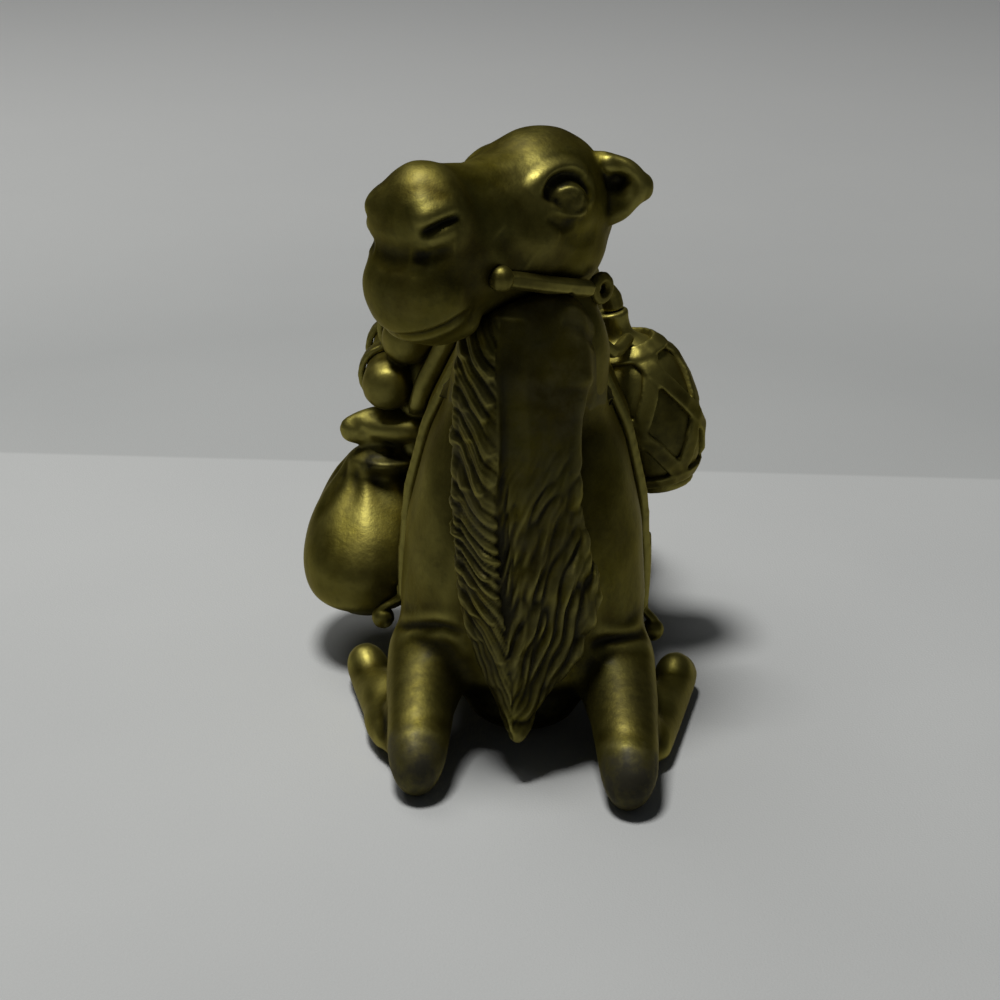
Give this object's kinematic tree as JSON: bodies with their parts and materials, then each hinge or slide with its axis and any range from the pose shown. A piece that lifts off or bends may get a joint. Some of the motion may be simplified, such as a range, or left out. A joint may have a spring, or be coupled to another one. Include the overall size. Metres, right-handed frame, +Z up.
{
  "type": "kneeling camel figurine",
  "caption": "Kneeling pack camel ornament in aged brass, head turned aside, with halter, saddle blanket, tied sack, rolled bedding and netted jug.",
  "frame": {"origin": "on the ground, in the middle of the footprint's box", "axes": "+Z up, -Y the way the trunk faces, +X the camel's own left; the head is turned towards -X"},
  "size_m": [0.07, 0.1222, 0.099],
  "materials": {
    "aged_brass": "dark olive patina, rubbed brighter on raised places",
    "worn_brass": "dark olive patina worn to a dull grey brown at the knees",
    "bare_brass": "bare turned metal, hidden inside"
  },
  "bodies": {
    "root": {"bed_roll_lower": "aged_brass", "bed_roll_upper": "aged_brass", "body_left_shell": "aged_brass", "body_right_shell": "aged_brass", "ear_left": "aged_brass", "ear_right": "aged_brass", "eye_left": "aged_brass", "eye_right": "aged_brass", "foreleg_dowel_left": "bare_brass", "foreleg_dowel_right": "bare_brass", "foreleg_left": "worn_brass", "foreleg_right": "worn_brass", "foreshin_left": "aged_brass", "foreshin_right": "aged_brass", "fringe_dowel": "bare_brass", "halter_cheek_rope_left": "aged_brass", "halter_cheek_rope_right": "aged_brass", "halter_chin_rope": "aged_brass", "halter_knob_left": "aged_brass", "halter_knob_right": "aged_brass", "halter_ring_left": "aged_brass", "halter_ring_right": "aged_brass", "head_shell": "aged_brass", "head_sleeve": "bare_brass", "hindleg_dowel_left": "bare_brass", "hindleg_dowel_right": "bare_brass", "hindleg_left": "aged_brass", "hindleg_right": "aged_brass", "hindshin_left": "aged_brass", "hindshin_right": "aged_brass", "jug_body": "aged_brass", "jug_dowel": "bare_brass", "jug_net": "aged_brass", "jug_stopper": "aged_brass", "load_rope": "aged_brass", "lower_jaw": "aged_brass", "neck_fringe": "aged_brass", "neck_shell": "aged_brass", "neck_sleeve": "bare_brass", "roll_strap_front": "aged_brass", "roll_strap_rear": "aged_brass", "sack_body": "aged_brass", "sack_dowel": "bare_brass", "sack_mouth": "aged_brass", "sack_tie": "aged_brass", "saddle_blanket": "aged_brass", "saddle_pad": "aged_brass", "seam_dowel_chest": "bare_brass", "seam_dowel_hump": "bare_brass", "seam_dowel_rump": "bare_brass", "tail": "aged_brass", "tassel_front_left": "aged_brass", "tassel_front_right": "aged_brass"}
  },
  "joints": []
}
